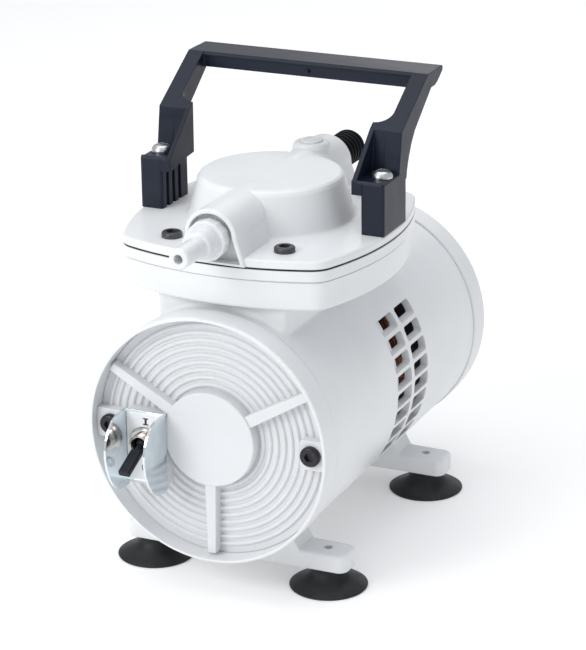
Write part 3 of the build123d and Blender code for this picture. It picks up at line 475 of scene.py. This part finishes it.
# strands of magnet wire laid over both ends of the stator coil
def strands(name, path, z_axis, wire, seed):
    """Loops round the shaft line whose middles follow path, a list of (radius, y)."""
    rng = np.random.default_rng(seed)
    verts, faces = [], []
    nseg, ncs = 120, 6
    for r0, y0 in path:
        base = len(verts)
        p1, p2, p3 = rng.uniform(0, 2 * math.pi, 3)
        for i in range(nseg):
            t = 2 * math.pi * i / nseg
            r = r0 + 0.10 * math.sin(5 * t + p1) + 0.06 * math.sin(11 * t + p2)
            y = y0 + 0.12 * math.sin(4 * t + p3)
            for j in range(ncs):
                u = 2 * math.pi * j / ncs
                rr = r + wire * math.cos(u)
                verts.append((rr * math.cos(t) * mm, (y + wire * math.sin(u)) * mm + YS, (z_axis + rr * math.sin(t)) * mm))
        for i in range(nseg):
            i2 = (i + 1) % nseg
            for j in range(ncs):
                j2 = (j + 1) % ncs
                faces.append((base + i * ncs + j, base + i2 * ncs + j, base + i2 * ncs + j2, base + i * ncs + j2))
    me = bpy.data.meshes.new(name)
    me.from_pydata(verts, [], faces)
    bm = bmesh.new()
    bm.from_mesh(me)
    bmesh.ops.recalc_face_normals(bm, faces=bm.faces)
    bm.to_mesh(me)
    bm.free()
    me.polygons.foreach_set("use_smooth", [True] * len(me.polygons))
    ob = bpy.data.objects.new(name, me)
    scene.collection.objects.link(ob)
    me.materials.append(M["copper_wire"])
    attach(ob, "pump_body")
    return ob


def along(points, step):
    out = []
    for (r0, y0), (r1, y1) in zip(points, points[1:]):
        d = math.hypot(r1 - r0, y1 - y0)
        n = max(1, int(round(d / step)))
        out += [(r0 + (r1 - r0) * k / n, y0 + (y1 - y0) * k / n) for k in range(n)]
    return out + [points[-1]]


strands("coil_strands_front", along([(31.2, 126.0), (42.9, 126.0), (45.9, 129.1), (45.9, 134.0)], 0.98), SHAFT_Z, 0.42, 3)
strands("coil_strands_rear", along([(31.2, 187.0), (41.9, 187.0), (44.9, 184.0), (44.9, 181.2)], 0.98), SHAFT_Z, 0.42, 4)


# moulding gate mark on the front of the carrying bar
def lens(name, x, y, z, r, h, axis, material, body):
    """Shallow round button whose top points along the given axis."""
    q = Vector((0, 0, 1)).rotation_difference(Vector(axis).normalized())
    rings = []
    for rr, hh in ((0.02, 1.0), (0.35, 0.94), (0.62, 0.78), (0.82, 0.52), (0.95, 0.22), (1.0, -0.25), (0.5, -0.3), (0.02, -0.3)):
        ring = []
        for k in range(28):
            a = 2 * math.pi * k / 28
            v = q @ Vector((rr * r * math.cos(a), rr * r * math.sin(a), hh * h))
            ring.append(((x + v.x) * mm, (y + v.y) * mm + YS, (z + v.z) * mm))
        rings.append(ring)
    return grid_piece(name, rings, True, material, body)


lens("handle_gate_mark", 0.6, 116.3, 224.6, 1.1, 0.25, (0, -1, 0), M["black_plastic"], "pump_body")

# ------------------------------------------------------------------ floor, light, camera
bm = bmesh.new()
bmesh.ops.create_circle(bm, cap_ends=True, segments=96, radius=6.0)
me = bpy.data.meshes.new("floor")
bm.to_mesh(me)
bm.free()
floor = bpy.data.objects.new("floor", me)
scene.collection.objects.link(floor)
tf = Tree("floor_paper")
tf.color(tf.mix(tf.span(tf.noise(3, 3, 0.5), 0.3, 0.7), (0.93, 0.93, 0.932), (0.95, 0.95, 0.95)))
tf.rough(0.75)
tf.normal(tf.bump(tf.noise(700, 3, 0.6), 0.00004, 0.3))
tf.set(IOR=1.3, Emission_Strength=0.14)
tf.bsdf.inputs["Emission Color"].default_value = (1, 1, 1, 1)
me.materials.append(tf.mat)


def softbox(name, loc, target, size, watts, color=(1, 1, 1), spread=math.radians(170)):
    li = bpy.data.lights.new(name, "AREA")
    li.shape = "RECTANGLE"
    li.size, li.size_y = size
    li.energy = watts
    li.color = color
    li.spread = spread
    ob = bpy.data.objects.new(name, li)
    scene.collection.objects.link(ob)
    ob.location = loc
    ob.rotation_euler = (Vector(target) - Vector(loc)).to_track_quat("-Z", "Y").to_euler()
    return ob


softbox("key", (-0.75, -1.35, 1.0), (0, 0, 0.11), (0.8, 0.8), 7.4, (1.0, 0.995, 0.985))
softbox("front", (-0.55, -1.25, 0.85), (0, 0, 0.12), (0.8, 0.7), 3.0, (1.0, 1.0, 1.0))
softbox("top", (-0.12, -0.05, 1.5), (0, 0, 0.1), (1.4, 1.4), 7.2, (0.97, 0.985, 1.0))
softbox("side", (1.4, 0.25, 0.75), (0, 0, 0.14), (0.6, 1.0), 0.15, (0.97, 0.985, 1.0))
softbox("rear", (-0.1, 1.4, 0.95), (0, 0, 0.12), (1.0, 0.8), 2.3, (1, 1, 1))

world = bpy.data.worlds.new("studio")
scene.world = world
world.use_nodes = True
wt = world.node_tree
wt.nodes.clear()
wo = wt.nodes.new("ShaderNodeOutputWorld")
bg = wt.nodes.new("ShaderNodeBackground")
bg.inputs[0].default_value = (0.93, 0.95, 0.98, 1)
bg.inputs[1].default_value = 0.62
wt.links.new(bg.outputs[0], wo.inputs[0])

az, el, roll = math.radians(24.62), math.radians(20.2), math.radians(-0.75)
right = Vector((math.cos(az), math.sin(az), 0))
back = Vector((math.sin(az) * math.cos(el), -math.cos(az) * math.cos(el), math.sin(el)))
up = back.cross(right)
r2 = math.cos(roll) * right + math.sin(roll) * up
u2 = -math.sin(roll) * right + math.cos(roll) * up
cam = bpy.data.cameras.new("camera")
cam.sensor_width = 36.0
cam.sensor_fit = "AUTO"
cam.lens = 149.27
cam.clip_start, cam.clip_end = 0.05, 30.0
co = bpy.data.objects.new("camera", cam)
scene.collection.objects.link(co)
co.matrix_world = Matrix((
    (r2.x, u2.x, back.x, 0.51124),
    (r2.y, u2.y, back.y, -1.10922),
    (r2.z, u2.z, back.z, 0.55399),
    (0, 0, 0, 1)))
scene.camera = co
scene.view_settings.view_transform = "Standard"

bpy.context.view_layer.update()
